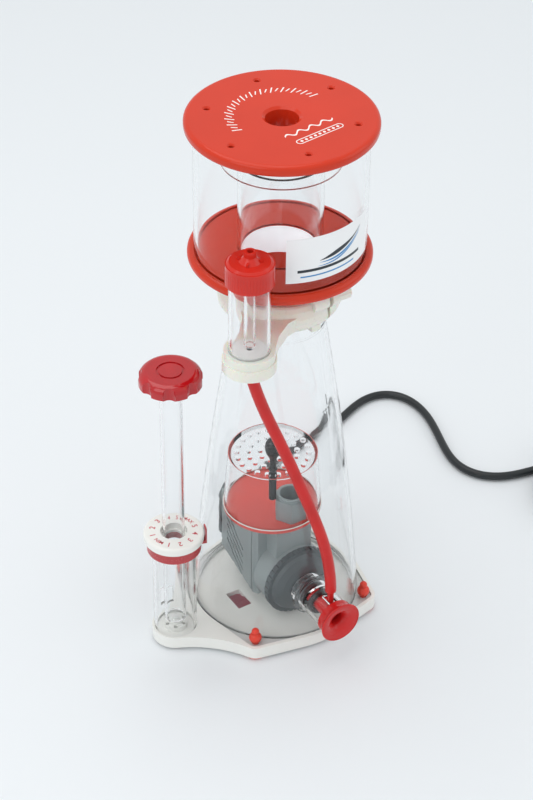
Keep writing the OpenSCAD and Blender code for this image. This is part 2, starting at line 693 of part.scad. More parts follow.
vent_r = 12;
module lid() {
  color(RED) difference() {
    union() {
      round_plate(lid_r, lid_z, total_h, 3.4);
      ring(56.4, cup_r - wall - gap, lid_z - 3, lid_z + 1);
      // sleeve under the vent
      ring(vent_r, vent_r + 2.4, lid_z - 15, lid_z + 1);
    }
    translate([0, 0, lid_z - 16]) cylinder(r = vent_r, h = lid_t + 17);
    translate([0, 0, total_h - 1.6]) cylinder(r1 = vent_r, r2 = vent_r + 2.2, h = 1.7);
    for (a = [16.7 : 60 : 330]) rotate(a) translate([53.4, 0, 0]) {
      translate([0, 0, lid_z - 1]) cylinder(r = 1.9, h = lid_t + 2);
      translate([0, 0, total_h - 1.1]) cylinder(r1 = 1.9, r2 = 3.1, h = 1.2);
    }
  }
}
module lid_skirt() { color(CLEAR) ring(41.2, 43.7, riser_top, lid_z); }

// ---------- lead, coil and plug ----------

tail_pts = [for (i = [0 : 14])
  let (a = tail_a[0] + (tail_a[1] - tail_a[0]) * i / 14, drawn = (1 - cos(180 * min(1, i / 12))) / 2,
    r = tail_r[0] + (tail_r[1] - tail_r[0]) * drawn)
  coil_c + [r * cos(a), r * sin(a), coil_z[1] + cord_r - 2.4 + 2.4 * min(1, i / 6)]];
module cord_run() { color(BLACK) swept_tube(cord_pts, cord_r, 10); }
module cord_coil() {
  color(BLACK) translate([coil_c[0], coil_c[1], 0]) rotate_extrude() {
    translate([coil_r[0] + 2, coil_z[0]]) square([coil_r[1] - coil_r[0] - 4, coil_z[1] - coil_z[0]]);
    translate([coil_r[0], coil_z[0] + 2]) square([coil_r[1] - coil_r[0], coil_z[1] - coil_z[0] - 4]);
    for (r = [coil_r[0] + 2, coil_r[1] - 2], z = [coil_z[0] + 2, coil_z[1] - 2]) translate([r, z]) circle(2);
  }
}
module cord_tail() { color(BLACK) swept_tube(tail_pts, cord_r, 10); }

// Flat two-pin plug lying on the coil, in line with the tail's end
module at_plug() {
  translate([coil_c[0] + tail_r[1] * cos(tail_a[1]), coil_c[1] + tail_r[1] * sin(tail_a[1]),
    coil_z[1] + cord_r])
    rotate(tail_a[1] - 90) children();
}
module plug_body() {
  color(BLACK) at_plug() difference() {
    union() {
      rotate([0, 90, 0]) cylinder(r1 = 4, r2 = 5.6, h = 12);
      translate([11, 0, -cord_r]) linear_extrude(13) polygon([
        [0, -6], [8, -13], [27, -13], [27, 13], [8, 13], [0, 6]]);
    }
    translate([-2, -10, -cord_r - 6]) cube([16, 20, 6]);
  }
}
module plug_pins() {
  color(STEEL) at_plug() for (s = [-1, 1]) translate([38, s * 9.3, 3.1]) rotate([0, 90, 0]) {
    cylinder(r = 2, h = 17);
    translate([0, 0, 17]) sphere(r = 2);
  }
}

foot_pads();
base_tray();
duct_cover();
base_seal();
cone_flange();
cone_shell();
intake_tube();
intake_oring();
intake_nozzle();
volute_housing();
volute_cover();
volute_oring();
motor_housing();
motor_back();
stator_core();
stator_coils();
shaft_bushes();
pump_lead();
cable_gland();
gland_nut();
strain_relief();
pump_deck();
bubble_cover();
plate_plug();
outlet_tube();
outlet_seat();
pointer_ring();
clamp_collar();
clamp_nut();
silencer_tube();
silencer_floor();
hose_barb();
air_hose();
cup_floor();
cup_wall();
cup_riser();
cup_socket();
cup_oring();
lid();
lid_skirt();
silencer_cap();
silencer_inner_tube();
clamp_knob();
clamp_stud();
dial_ring();
valve_tube();
valve_knob();
peg_front_left();
peg_front_right();
peg_rear_left();
peg_rear_right();
rotor_magnet();
impeller();
impeller_shaft();
cord_run();
cord_coil();
cord_tail();
plug_body();
plug_pins();
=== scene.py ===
"""Looks of a protein skimmer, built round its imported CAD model: clear acrylic bell, cup, tubes,
red and white acrylic parts, grey pump, red silicone hose and a black mains lead with its plug."""

import json
import math

import bmesh
import bpy
import numpy as np
from mathutils import Matrix


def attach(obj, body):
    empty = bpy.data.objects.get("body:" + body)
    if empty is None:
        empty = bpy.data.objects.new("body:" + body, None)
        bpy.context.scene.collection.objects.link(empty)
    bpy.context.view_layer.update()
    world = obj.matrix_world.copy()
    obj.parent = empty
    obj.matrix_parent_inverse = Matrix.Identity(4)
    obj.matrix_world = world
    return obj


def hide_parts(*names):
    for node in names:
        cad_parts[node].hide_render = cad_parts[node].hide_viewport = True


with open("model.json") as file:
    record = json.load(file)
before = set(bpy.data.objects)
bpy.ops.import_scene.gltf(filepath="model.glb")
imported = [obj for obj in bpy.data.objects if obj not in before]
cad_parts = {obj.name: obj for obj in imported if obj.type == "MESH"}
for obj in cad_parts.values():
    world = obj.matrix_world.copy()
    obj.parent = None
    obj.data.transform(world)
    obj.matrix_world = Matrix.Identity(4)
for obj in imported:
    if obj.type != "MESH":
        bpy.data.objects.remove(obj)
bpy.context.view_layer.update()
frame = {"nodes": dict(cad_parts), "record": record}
TURN = 2 * math.pi
MM = 0.001


# ---------- camera, floor and light ----------

VIEW_TURN = 33.0        # degrees from +Y towards +X
VIEW_TILT = 37.28       # degrees below level
VIEW_ROLL = 0.66
VIEW_FROM = (-0.7295, -1.1077, 1.2058)


def add_camera():
    """Camera set by its place and three angles: turn about Z, tilt about X, roll about its own axis."""
    lens = bpy.data.cameras.new("camera")
    lens.lens, lens.sensor_width, lens.sensor_fit = 98.8, 36, "AUTO"
    lens.clip_start, lens.clip_end = 0.05, 30
    cam = bpy.data.objects.new("camera", lens)
    bpy.context.collection.objects.link(cam)
    cam.matrix_world = (Matrix.Translation(VIEW_FROM)
                        @ Matrix.Rotation(math.radians(-VIEW_TURN), 4, "Z")
                        @ Matrix.Rotation(math.radians(90 - VIEW_TILT), 4, "X")
                        @ Matrix.Rotation(math.radians(VIEW_ROLL), 4, "Z"))
    bpy.context.scene.camera = cam


def add_light(name, place, aim, size, watts, tint=(1, 1, 1)):
    """Square soft lamp at place, turned to face aim: its own z points away from aim."""
    lamp = bpy.data.lights.new(name, "AREA")
    lamp.shape, lamp.size, lamp.energy, lamp.color = "SQUARE", size, watts, tint
    obj = bpy.data.objects.new(name, lamp)
    bpy.context.collection.objects.link(obj)
    away = np.array(place, float) - np.array(aim, float)
    z = away / np.linalg.norm(away)
    x = np.cross((0, 0, 1), z)
    x = x / np.linalg.norm(x)
    y = np.cross(z, x)
    turn = Matrix([[x[i], y[i], z[i], place[i]] for i in range(3)] + [[0, 0, 0, 1]])
    obj.matrix_world = turn


def add_studio():
    """Pale floor, even pale surroundings and soft lamps."""
    world = bpy.data.worlds.new("studio")
    world.use_nodes = True
    sky = world.node_tree.nodes["Background"]
    sky.inputs["Color"].default_value = (*paint(240, 242, 243), 1)
    sky.inputs["Strength"].default_value = 0.84
    bpy.context.scene.world = world
    half = 4.0
    mesh = bpy.data.meshes.new("floor")
    mesh.from_pydata([(-half, -half, 0), (half, -half, 0), (half, half, 0), (-half, half, 0)], [],
                     [(0, 1, 2, 3)])
    floor = bpy.data.objects.new("floor", mesh)
    bpy.context.collection.objects.link(floor)
    mesh.materials.append(FINISH["studio_floor"])
    add_light("lamp_top", (-0.25, 0.35, 1.9), (0, 0, 0.15), 1.5, 10, (1.0, 0.995, 0.985))
    add_light("lamp_left", (-1.6, -0.5, 1.3), (0, 0, 0.2), 1.1, 5.5, (0.97, 0.99, 1.0))
    add_light("lamp_right", (1.5, -0.9, 1.2), (0, 0, 0.2), 1.2, 3, (1.0, 1.0, 1.0))
    scene = bpy.context.scene
    scene.view_settings.view_transform = "Standard"
    scene.cycles.max_bounces = 24
    scene.cycles.transmission_bounces = 22
    scene.cycles.transparent_max_bounces = 24
    scene.cycles.glossy_bounces = 6
    scene.cycles.diffuse_bounces = 4


# ---------- materials ----------

def paint(r, g, b):
    """Colour on a 0 to 255 scale as linear light, by the usual 2.4 curve."""
    c = np.array((r, g, b)) / 255
    return tuple(float(v) for v in np.where(c <= 0.04045, c / 12.92, ((c + 0.055) / 1.055) ** 2.4))


def new_finish(name):
    """Empty node material with an output, its Principled shader and its object coordinates."""
    mat = bpy.data.materials.new(name)
    mat.use_nodes = True
    tree = mat.node_tree
    place = tree.nodes.new("ShaderNodeTexCoord")
    return mat, tree, tree.nodes["Principled BSDF"], place.outputs["Object"]


def add_noise(tree, place, size, detail=3.0, stretch=(1, 1, 1)):
    """Noise of that grain size in metres; stretch draws it out along an axis."""
    mapping = tree.nodes.new("ShaderNodeMapping")
    mapping.inputs["Scale"].default_value = [1 / (size * s) for s in stretch]
    noise = tree.nodes.new("ShaderNodeTexNoise")
    noise.inputs["Scale"].default_value = 1.0
    noise.inputs["Detail"].default_value = detail
    tree.links.new(place, mapping.inputs["Vector"])
    tree.links.new(mapping.outputs["Vector"], noise.inputs["Vector"])
    return noise.outputs["Fac"]


def add_range(tree, value, low, high):
    """Spreads the middle of a noise over low to high."""
    ramp = tree.nodes.new("ShaderNodeMapRange")
    ramp.inputs["From Min"].default_value, ramp.inputs["From Max"].default_value = 0.3, 0.7
    ramp.inputs["To Min"].default_value, ramp.inputs["To Max"].default_value = low, high
    tree.links.new(value, ramp.inputs["Value"])
    return ramp.outputs["Result"]


def add_bump(tree, shader, value, depth, strength=1.0):
    """Turns a height into a normal; depth is in metres."""
    bump = tree.nodes.new("ShaderNodeBump")
    bump.inputs["Strength"].default_value = strength
    bump.inputs["Distance"].default_value = depth
    tree.links.new(value, bump.inputs["Height"])
    tree.links.new(bump.outputs["Normal"], shader.inputs["Normal"])


def set_sockets(shader, fixed):
    """Sets sockets by name, with _ for the blanks in it."""
    for socket, value in fixed.items():
        shader.inputs[socket.replace("_", " ")].default_value = value


def solid_finish(name, colour, rough, patch=0.03, spread=0.06, grain=0.0006, depth=0.00002,
                 stretch=(1, 1, 1), **fixed):
    """Opaque moulded or cast surface: the colour drifts a little over patches of that size, the
    gloss drifts with it, and a fine grain lifts the surface by depth."""
    mat, tree, shader, place = new_finish(name)
    drift = add_noise(tree, place, patch)
    mix = tree.nodes.new("ShaderNodeMix")
    mix.data_type = "RGBA"
    mix.inputs["A"].default_value = (*[c * (1 - spread) for c in colour], 1)
    mix.inputs["B"].default_value = (*[min(1, c * (1 + spread)) for c in colour], 1)
    tree.links.new(add_range(tree, drift, 0, 1), mix.inputs["Factor"])
    tree.links.new(mix.outputs["Result"], shader.inputs["Base Color"])
    fine = add_noise(tree, place, grain, 4, stretch)
    tree.links.new(add_range(tree, fine, rough * 0.85, rough * 1.2), shader.inputs["Roughness"])
    add_bump(tree, shader, fine, depth)
    set_sockets(shader, fixed)
    return mat


def clear_finish(name, tint, through, bend=1.36, rough=0.01, smear=0.03, **fixed):
    """Cast clear acrylic: it bends light, a faint smear of handling marks changes its gloss, and lamps
    shine through it as through a pane, tinted by through."""
    mat, tree, shader, place = new_finish(name)
    shader.inputs["Base Color"].default_value = (*tint, 1)
    shader.inputs["Transmission Weight"].default_value = 1
    shader.inputs["IOR"].default_value = bend
    marks = add_noise(tree, place, 0.02, 5, (1, 1, 2.5))
    tree.links.new(add_range(tree, marks, rough, rough + smear), shader.inputs["Roughness"])
    add_bump(tree, shader, add_noise(tree, place, 0.035, 2), 0.00002, 0.15)
    set_sockets(shader, fixed)
    path = tree.nodes.new("ShaderNodeLightPath")
    pane = tree.nodes.new("ShaderNodeBsdfTransparent")
    pane.inputs["Color"].default_value = (*through, 1)
    mix = tree.nodes.new("ShaderNodeMixShader")
    tree.links.new(path.outputs["Is Shadow Ray"], mix.inputs[0])
    tree.links.new(shader.outputs[0], mix.inputs[1])
    tree.links.new(pane.outputs[0], mix.inputs[2])
    tree.links.new(mix.outputs[0], tree.nodes["Material Output"].inputs["Surface"])
    return mat


def brushed_finish(name, colour, rough, stretch):
    """Drawn or turned metal: fine lines along one axis in gloss and height."""
    mat, tree, shader, place = new_finish(name)
    shader.inputs["Base Color"].default_value = (*colour, 1)
    shader.inputs["Metallic"].default_value = 1
    lines = add_noise(tree, place, 0.0004, 4, stretch)
    tree.links.new(add_range(tree, lines, rough * 0.7, rough * 1.4), shader.inputs["Roughness"])
    add_bump(tree, shader, lines, 0.00001)
    return mat


FINISH = {
    "studio_floor": solid_finish("studio_floor", paint(236, 240, 243), 0.6, patch=0.9, spread=0.006,
                                 grain=0.002, depth=0.0),
    "red_acrylic": solid_finish("red_acrylic", paint(210, 56, 30), 0.14, patch=0.05, spread=0.04,
                                grain=0.008, depth=0.00003, Specular_IOR_Level=0.3),
    "deep_red": solid_finish("deep_red", paint(188, 20, 28), 0.09, patch=0.02, spread=0.08,
                             grain=0.003, depth=0.00002, Specular_IOR_Level=0.5, Coat_Weight=0.3,
                             Coat_Roughness=0.04),
    # painted shade: a darker, greyer red for the duct cover, the shade of its slot put into the colour
    "slot_shade_red": solid_finish("slot_shade_red", paint(146, 62, 76), 0.3, patch=0.01, spread=0.1,
                             grain=0.002),
    "nozzle_red": solid_finish("nozzle_red", paint(205, 34, 34), 0.13, patch=0.02, spread=0.06,
                               grain=0.004, depth=0.00003, Specular_IOR_Level=0.4),
    "cap_red": solid_finish("cap_red", paint(210, 44, 32), 0.13, patch=0.02, spread=0.06,
                            grain=0.004, depth=0.00003, Specular_IOR_Level=0.4),
    "pointer_red": solid_finish("pointer_red", paint(186, 66, 70), 0.25, patch=0.02, grain=0.001),
    "deck_red": solid_finish("deck_red", paint(222, 84, 74), 0.22, patch=0.03, spread=0.06,
                             grain=0.004, Specular_IOR_Level=0.3),
    "red_silicone": solid_finish("red_silicone", paint(204, 34, 32), 0.34, patch=0.02, spread=0.07,
                                 grain=0.0012, depth=0.00003, Subsurface_Weight=0.12,
                                 Subsurface_Scale=0.002, Specular_IOR_Level=0.35),
    "silicone_feet": solid_finish("silicone_feet", paint(226, 64, 44), 0.3, patch=0.006,
                                  spread=0.06, grain=0.0008, Subsurface_Weight=0.2,
                                  Subsurface_Scale=0.002),
    "white_acrylic": solid_finish("white_acrylic", paint(243, 243, 238), 0.2, patch=0.04,
                                  spread=0.012, grain=0.004, depth=0.00002, Coat_Weight=0.25,
                                  Coat_Roughness=0.08),
    "clamp_plastic": solid_finish("clamp_plastic", paint(236, 236, 226), 0.3, patch=0.02,
                                  spread=0.02, grain=0.002, Subsurface_Weight=0.4,
                                  Subsurface_Scale=0.008, Coat_Weight=0.15, Coat_Roughness=0.2),
    "pump_grey": solid_finish("pump_grey", paint(150, 160, 161), 0.42, patch=0.02, spread=0.05,
                              grain=0.0007, depth=0.00002),
    "pump_dark": solid_finish("pump_dark", paint(80, 89, 92), 0.42, patch=0.02, spread=0.05,
                              grain=0.0007, depth=0.00002),
    "black_rubber": solid_finish("black_rubber", paint(24, 27, 29), 0.38, patch=0.01, spread=0.15,
                                 grain=0.0008, depth=0.00003),
    "gland_black": solid_finish("gland_black", paint(30, 33, 36), 0.3, patch=0.01, spread=0.1,
                                grain=0.0006, depth=0.00002),
    "lead_rubber": solid_finish("lead_rubber", paint(28, 33, 36), 0.36, patch=0.03, spread=0.18,
                                grain=0.0009, depth=0.00003),
    "clear_rubber": solid_finish("clear_rubber", paint(222, 226, 223), 0.35, patch=0.02,
                                 spread=0.02, grain=0.001),
    "frosted": solid_finish("frosted", paint(244, 244, 242), 0.5, patch=0.01, spread=0.03,
                            grain=0.0008),
    # painted glow: near-white with a faint emission, so the band inside the cup's neck looks lit from
    # within; it is no lamp
    "painted_glow_white": solid_finish("painted_glow_white", paint(246, 248, 250), 0.5, patch=0.01, spread=0.03,
                             grain=0.001, Emission_Color=(0.9, 0.95, 1, 1), Emission_Strength=0.3),
    "plate_over_white": solid_finish("plate_over_white", paint(230, 232, 230), 0.08, patch=0.05,
                                     spread=0.02, grain=0.02, depth=0.00002,
                                     Transmission_Weight=0.2, Coat_Weight=0.5, Coat_Roughness=0.03),
    # white line at the bubble chamber's foot: partly a glue seam, partly a painted highlight on the rim
    "seam_and_highlight_white": solid_finish("seam_and_highlight_white", paint(248, 240, 232), 0.3, patch=0.008, spread=0.05,
                              grain=0.001),
    # painted highlight: pale pink ring standing in for light caught on the clear chamber's top edge
    "pink_rim_highlight": solid_finish("pink_rim_highlight", paint(214, 122, 116), 0.3, patch=0.008, spread=0.12,
                             grain=0.001),
    "edge_pink": solid_finish("edge_pink", paint(236, 190, 184), 0.3, patch=0.008, spread=0.08,
                              grain=0.001),
    "print_white": solid_finish("print_white", paint(250, 244, 240), 0.3, patch=0.004,
                                spread=0.02, grain=0.0004),
    "print_red": solid_finish("print_red", paint(200, 40, 62), 0.35, patch=0.004, grain=0.0004),
    "print_blue": solid_finish("print_blue", paint(58, 140, 200), 0.3, patch=0.01, grain=0.0004),
    "print_black": solid_finish("print_black", paint(34, 44, 52), 0.3, patch=0.01, grain=0.0004),
    "label_paper": solid_finish("label_paper", paint(250, 251, 252), 0.22, patch=0.02,
                                spread=0.008, grain=0.0006, Coat_Weight=0.5, Coat_Roughness=0.12),
    "magnet": solid_finish("magnet", paint(48, 48, 54), 0.3, grain=0.0008),
    "ceramic": solid_finish("ceramic", paint(232, 232, 228), 0.12, grain=0.0006, depth=0.00001),
    "clear_acrylic": clear_finish("clear_acrylic", (0.988, 0.994, 0.996), (0.995, 0.997, 0.998)),
    "clear_tube": clear_finish("clear_tube", (0.985, 0.99, 0.992), (0.99, 0.992, 0.994), bend=1.4,
                               rough=0.015, smear=0.04),
    "clear_sheet": clear_finish("clear_sheet", (0.99, 0.994, 0.995), (0.995, 0.997, 0.998),
                                bend=1.12),
    "steel": brushed_finish("steel", paint(196, 196, 200), 0.24, (6, 1, 1)),
    "copper": brushed_finish("copper", paint(190, 112, 66), 0.3, (1, 1, 8)),
    "plug_brass": brushed_finish("plug_brass", paint(206, 184, 128), 0.25, (8, 1, 1)),
}

# nodes whose look differs from the rest of their slot
OWN_FINISH = {
    "pointer_ring": "pointer_red", "duct_cover": "slot_shade_red", "silencer_floor": "frosted",
    "cone_flange": "plate_over_white", "intake_nozzle": "nozzle_red",
    "silencer_cap": "cap_red",
    "bubble_cover": "clear_sheet", "cup_wall": "clear_sheet",
    "peg_front_left": "silicone_feet", "peg_front_right": "silicone_feet",
    "peg_rear_left": "silicone_feet", "peg_rear_right": "silicone_feet",
    "intake_tube": "clear_tube", "outlet_tube": "clear_tube", "valve_tube": "clear_tube",
    "silencer_tube": "clear_tube", "silencer_inner_tube": "clear_tube", "hose_barb": "clear_tube",
}


def finish_nodes():
    """Puts each carried-over node's finish in its own slots: its slot's finish, or its own."""
    for part in frame["record"]["subparts"]:
        obj = frame["nodes"][part["node"]]
        finish = FINISH[OWN_FINISH.get(part["node"], part["material_slot"])]
        if not obj.material_slots:
            obj.data.materials.append(finish)
        for held in obj.material_slots:
            held.material = finish


# ---------- shapes ----------

SPAN_STEPS = 24             # points worked out between two points of a route
WELD = 2e-6                 # metres, points nearer than this are one


def circle(count):
    """Unit circle as (count, 2) points, counter-clockwise."""
    a = np.arange(count) * TURN / count
    return np.column_stack([np.cos(a), np.sin(a)])


def loft(name, rings, finish, body, closed=False):
    """Closed surface through rings, an (n, m, 3) array of n loops of m points in metres: each quad
    joins neighbours on two loops. Flat ends close it, unless the last loop joins the first."""
    n, m = rings.shape[:2]
    at = np.arange(n * m).reshape(n, m)
    rows = np.arange(n if closed else n - 1)
    nxt = (rows + 1) % n
    step = np.roll(np.arange(m), -1)
    quads = np.stack([at[rows], at[rows][:, step], at[nxt][:, step], at[nxt]], -1)
    faces = quads.reshape(-1, 4).tolist()
    if not closed:
        faces += [at[0][::-1].tolist(), at[-1].tolist()]
    mesh = bpy.data.meshes.new(name)
    mesh.from_pydata(rings.reshape(-1, 3).tolist(), [], faces)
    return keep_piece(name, mesh, finish, body)


def keep_piece(name, mesh, finish, body, angle=35):
    """Welds a mesh, turns its faces outwards, shades it smooth up to that crease angle, and gives it
    its finish, body and slot."""
    bm = bmesh.new()
    bm.from_mesh(mesh)
    bmesh.ops.remove_doubles(bm, verts=bm.verts, dist=WELD)
    bmesh.ops.recalc_face_normals(bm, faces=bm.faces)
    bm.to_mesh(mesh)
    bm.free()
    mesh.shade_smooth()
    mesh.set_sharp_from_angle(angle=math.radians(angle))
    mesh.materials.append(FINISH[finish])
    obj = bpy.data.objects.new(name, mesh)
    bpy.context.collection.objects.link(obj)
    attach(obj, body)
    return obj


def turned(name, profile, centre, finish, body, count=96):
    """Closed profile of (radius, height) points in mm, turned round an upright axis at centre."""
    spin = circle(count)
    r, z = np.array(profile, float).T
    rings = np.stack([centre[0] + r * spin[:, :1], centre[1] + r * spin[:, 1:],
                      np.broadcast_to(z, (count, len(z)))], -1) * MM
    return loft(name, rings, finish, body, closed=True)


def smooth_path(points, spacing):
    """Catmull-Rom cubic through points, resampled to even steps of about spacing. The line is carried
    on past each end by its last step."""
    p = np.array(points, float)
    p = np.vstack([2 * p[0] - p[1], p, 2 * p[-1] - p[-2]])
    t = np.linspace(0, 1, SPAN_STEPS, endpoint=False)[:, None]
    parts = []
    for a, b, c, d in zip(p[:-3], p[1:-2], p[2:-1], p[3:]):
        parts.append(0.5 * (2 * b + (c - a) * t + (2 * a - 5 * b + 4 * c - d) * t ** 2
                            + (3 * b - a - 3 * c + d) * t ** 3))
    line = np.vstack(parts + [p[-2][None]])
    return even_steps(line, spacing)


def even_steps(line, spacing):
    """Points at even distances along a line of points."""
    run = np.concatenate([[0], np.cumsum(np.linalg.norm(np.diff(line, axis=0), axis=1))])
    at = np.linspace(0, run[-1], max(3, int(round(run[-1] / spacing)) + 1))
    return np.column_stack([np.interp(at, run, line[:, k]) for k in range(3)])


def path_frames(line, up=(0, 0, 1)):
    """Direction along a path and two square to it: side = up x direction, lift = direction x side."""
    along = np.gradient(line, axis=0)
    along /= np.linalg.norm(along, axis=1, keepdims=True)
    side = np.cross(np.broadcast_to(np.array(up, float), along.shape), along)
    side /= np.linalg.norm(side, axis=1, keepdims=True)
    return along, side, np.cross(along, side)


def tube(name, line, radii, finish, body, sides=20, up=(0, 0, 1)):
    """Round tube: at each point of the line a circle of that radius square to it."""
    _, side, lift = path_frames(line, up)
    ring = circle(sides)
    r = np.broadcast_to(np.asarray(radii, float).reshape(-1, 1, 1), (len(line), 1, 1))
    rings = line[:, None] + r * (side[:, None] * ring[None, :, :1] + lift[:, None] * ring[None, :, 1:])
    return loft(name, rings, finish, body)


# ---------- mains lead ----------

LEAD_D = 6.8
LEAD_ROUTE = [
    (43, 88.1, 34), (46.6, 95.4, 33.8), (51, 104.3, 31.5), (57, 114, 26), (65.5, 123.5, 18.5),
    (76.5, 131.5, 11.2), (89.5, 137.6, 6.2), (104, 141.6, 4.2), (120, 144.6, 4), (137, 147.6, 4),
    (154, 151.6, 4), (171, 157.6, 4), (187, 164.8, 4), (203, 170.4, 4), (218.5, 171, 4),
    (231.5, 164.8, 4), (239.5, 152.5, 4), (242, 136, 4), (239.5, 117, 4), (233, 96, 4), (226, 76, 4),
    (221.5, 58, 4), (222, 42, 4), (228.5, 28.5, 4), (240, 18.5, 4), (254, 12.8, 4), (270, 9.6, 4),
    (286, 7.4, 4), (304.2, 5, 4),
]
COIL_AT = (299.3, -39.0)
COIL_START = 83.65          # degrees, where the lead joins the coil
COIL_RADII = (44.3, 37.5, 30.7)
COIL_LOW = 4.0              # height of the lower layer's middle
COIL_TURNS = 6
TAIL_END = 95.0             # degrees, where the plug starts
LEAD_STEP = 3.2             # mm between the points of the lead's line
CLIMB = (880, 1080)         # degrees wound, where the coil rises to its second layer
TOP_CLIMB = (1870, 2010)    # and to the last stretch above it


def ease(x):
    """0 to 1 with level ends: 3x^2 - 2x^3."""
    x = np.clip(x, 0, 1)
    return x * x * (3 - 2 * x)


def coil_line():
    """Three turns inwards on the floor, three turns outwards on top of them, and a last stretch on a
    third layer. u is the angle wound so far, in degrees. Between two angles a turn moves over by a
    diameter; where it climbs, it goes round its neighbour on a quarter circle."""
    out, mid, inner = COIL_RADII
    u = np.arange(4, COIL_START - TAIL_END + COIL_TURNS * 360 + 1e-6, 4.0)

    def move(start, end):
        return ease((u - start) / (end - start))

    climb, top = move(*CLIMB), move(*TOP_CLIMB)
    r = out - LEAD_D * (move(160, 360) + move(520, 720))
    r = np.where(u > CLIMB[0], mid - LEAD_D * (climb + np.cos(climb * math.pi / 2)), r)
    r = np.where(u > CLIMB[1], inner + LEAD_D * (move(1150, 1290) + move(1510, 1650)), r)
    r = np.where(u > TOP_CLIMB[0], mid + LEAD_D * (top + np.cos(top * math.pi / 2)), r)
    r = np.where(u > TOP_CLIMB[1], out - LEAD_D * move(TOP_CLIMB[1], 2130), r)
    z = COIL_LOW + LEAD_D * (np.sin(climb * math.pi / 2) + np.sin(top * math.pi / 2))
    a = np.radians(COIL_START - u)
    return np.column_stack([COIL_AT[0] + r * np.cos(a), COIL_AT[1] + r * np.sin(a), z])


def soften(line, reach=3.0):
    """Weighted mean of each point and its neighbours, a bell curve reach steps wide; the line is
    carried on past its ends by turning it half round them, so the ends stay."""
    span = 12
    steps = np.arange(-span, span + 1)
    weight = np.exp(-steps ** 2 / (2 * reach * reach))
    long = np.vstack([2 * line[0] - line[span:0:-1], line, 2 * line[-1] - line[-2:-span - 2:-1]])
    return np.column_stack([np.convolve(long[:, k], weight / weight.sum(), "valid") for k in range(3)])


def add_lead():
    """The lead as one piece from its strain relief to the plug, with a strap round the coil."""
    run = soften(smooth_path(LEAD_ROUTE, LEAD_STEP))
    line = even_steps(np.vstack([run, coil_line()]), LEAD_STEP) * MM
    lead = tube("mains_lead", line, LEAD_D / 2 * MM, "lead_rubber", "skimmer_body", 14)
    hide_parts("cord_run", "cord_coil", "cord_tail")
    strap = add_strap()


def add_strap():
    """Hook-and-loop strap: a rectangle with round corners about the coil's section, carried over a
    short arc."""
    low, high = COIL_RADII[2] - LEAD_D / 2, COIL_RADII[0] + LEAD_D / 2
    corner = circle(32)
    round_off, gap, thick = 3.0, 0.05, 0.45
    half = np.array([(high - low) / 2 - round_off, LEAD_D - round_off])
    loop = np.sign(corner) * half + corner * (round_off + gap)
    centre = np.array([(high + low) / 2, COIL_LOW + LEAD_D / 2])
    arcs = np.radians(np.linspace(24, 36, 7))
    outer = centre + loop + corner * (gap + thick)
    inner = centre + loop + corner * gap
    ring = np.stack([
        np.stack([COIL_AT[0] + w[:, 0, None] * np.cos(arcs), COIL_AT[1] + w[:, 0, None] * np.sin(arcs),
                  np.repeat(w[:, 1, None], len(arcs), 1)], -1) for w in (outer, inner)])
    outline = np.concatenate([ring[0], ring[1][:, ::-1]], 1) * MM
    return loft("coil_strap", outline, "black_rubber", "skimmer_body", closed=True)


# ---------- air hose ----------

HOSE_D = 8.8
HOSE_ROUTE = [
    (-62.8, -58.5, 288), (-62.2, -58.7, 282.5), (-60.6, -59.2, 275.5), (-58.4, -59.9, 268),
    (-54.3, -61.2, 254), (-49.2, -62.8, 239), (-43.2, -64.7, 223), (-37.3, -66.6, 207),
    (-31.7, -68.3, 191), (-26.4, -70, 175), (-20.7, -71.7, 158), (-15.2, -73.4, 141.5),
    (-9.8, -75, 124.5), (-5.4, -76.5, 107.5), (-2.4, -77.7, 90.5), (-0.7, -78.3, 77),
    (0, -78.5, 69), (0, -78.5, 62.5),
]


def add_hose():
    """The air hose from the silencer's barb to the nozzle's nipple, one smooth tube."""
    line = soften(smooth_path(HOSE_ROUTE, 3)) * MM
    hose = tube("silicone_hose", line, HOSE_D / 2 * MM, "red_silicone", "skimmer_body",
                28, up=(0, 1, 0))
    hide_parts("air_hose")


# ---------- prints ----------

def slab(name, inner, outer, low, high, finish, body):
    """Thin slab between two edges, each (n, 2) in the plane, from height low to high, in mm."""
    corners = [(inner, low), (outer, low), (outer, high), (inner, high)]
    rings = np.stack([np.column_stack([edge, np.full(len(edge), z)]) for edge, z in corners], 1) * MM
    return loft(name, rings, finish, body)


def arc_edge(radius, a0, a1):
    """The two ends of an arc round the axis, from a0 to a1 degrees."""
    a = np.radians([a0, a1])
    return np.column_stack([radius * np.cos(a), radius * np.sin(a)])


def join_pieces(name, pieces):
    """Makes several small pieces with one finish and body into one."""
    bm = bmesh.new()
    for piece in pieces:
        bm.from_mesh(piece.data)
    keep = pieces[0]
    bm.to_mesh(keep.data)
    bm.free()
    for piece in pieces[1:]:
        bpy.data.objects.remove(piece)
    keep.name = name
    return keep


LID_TOP = 443.0
PRINT_TOP = LID_TOP + 0.08


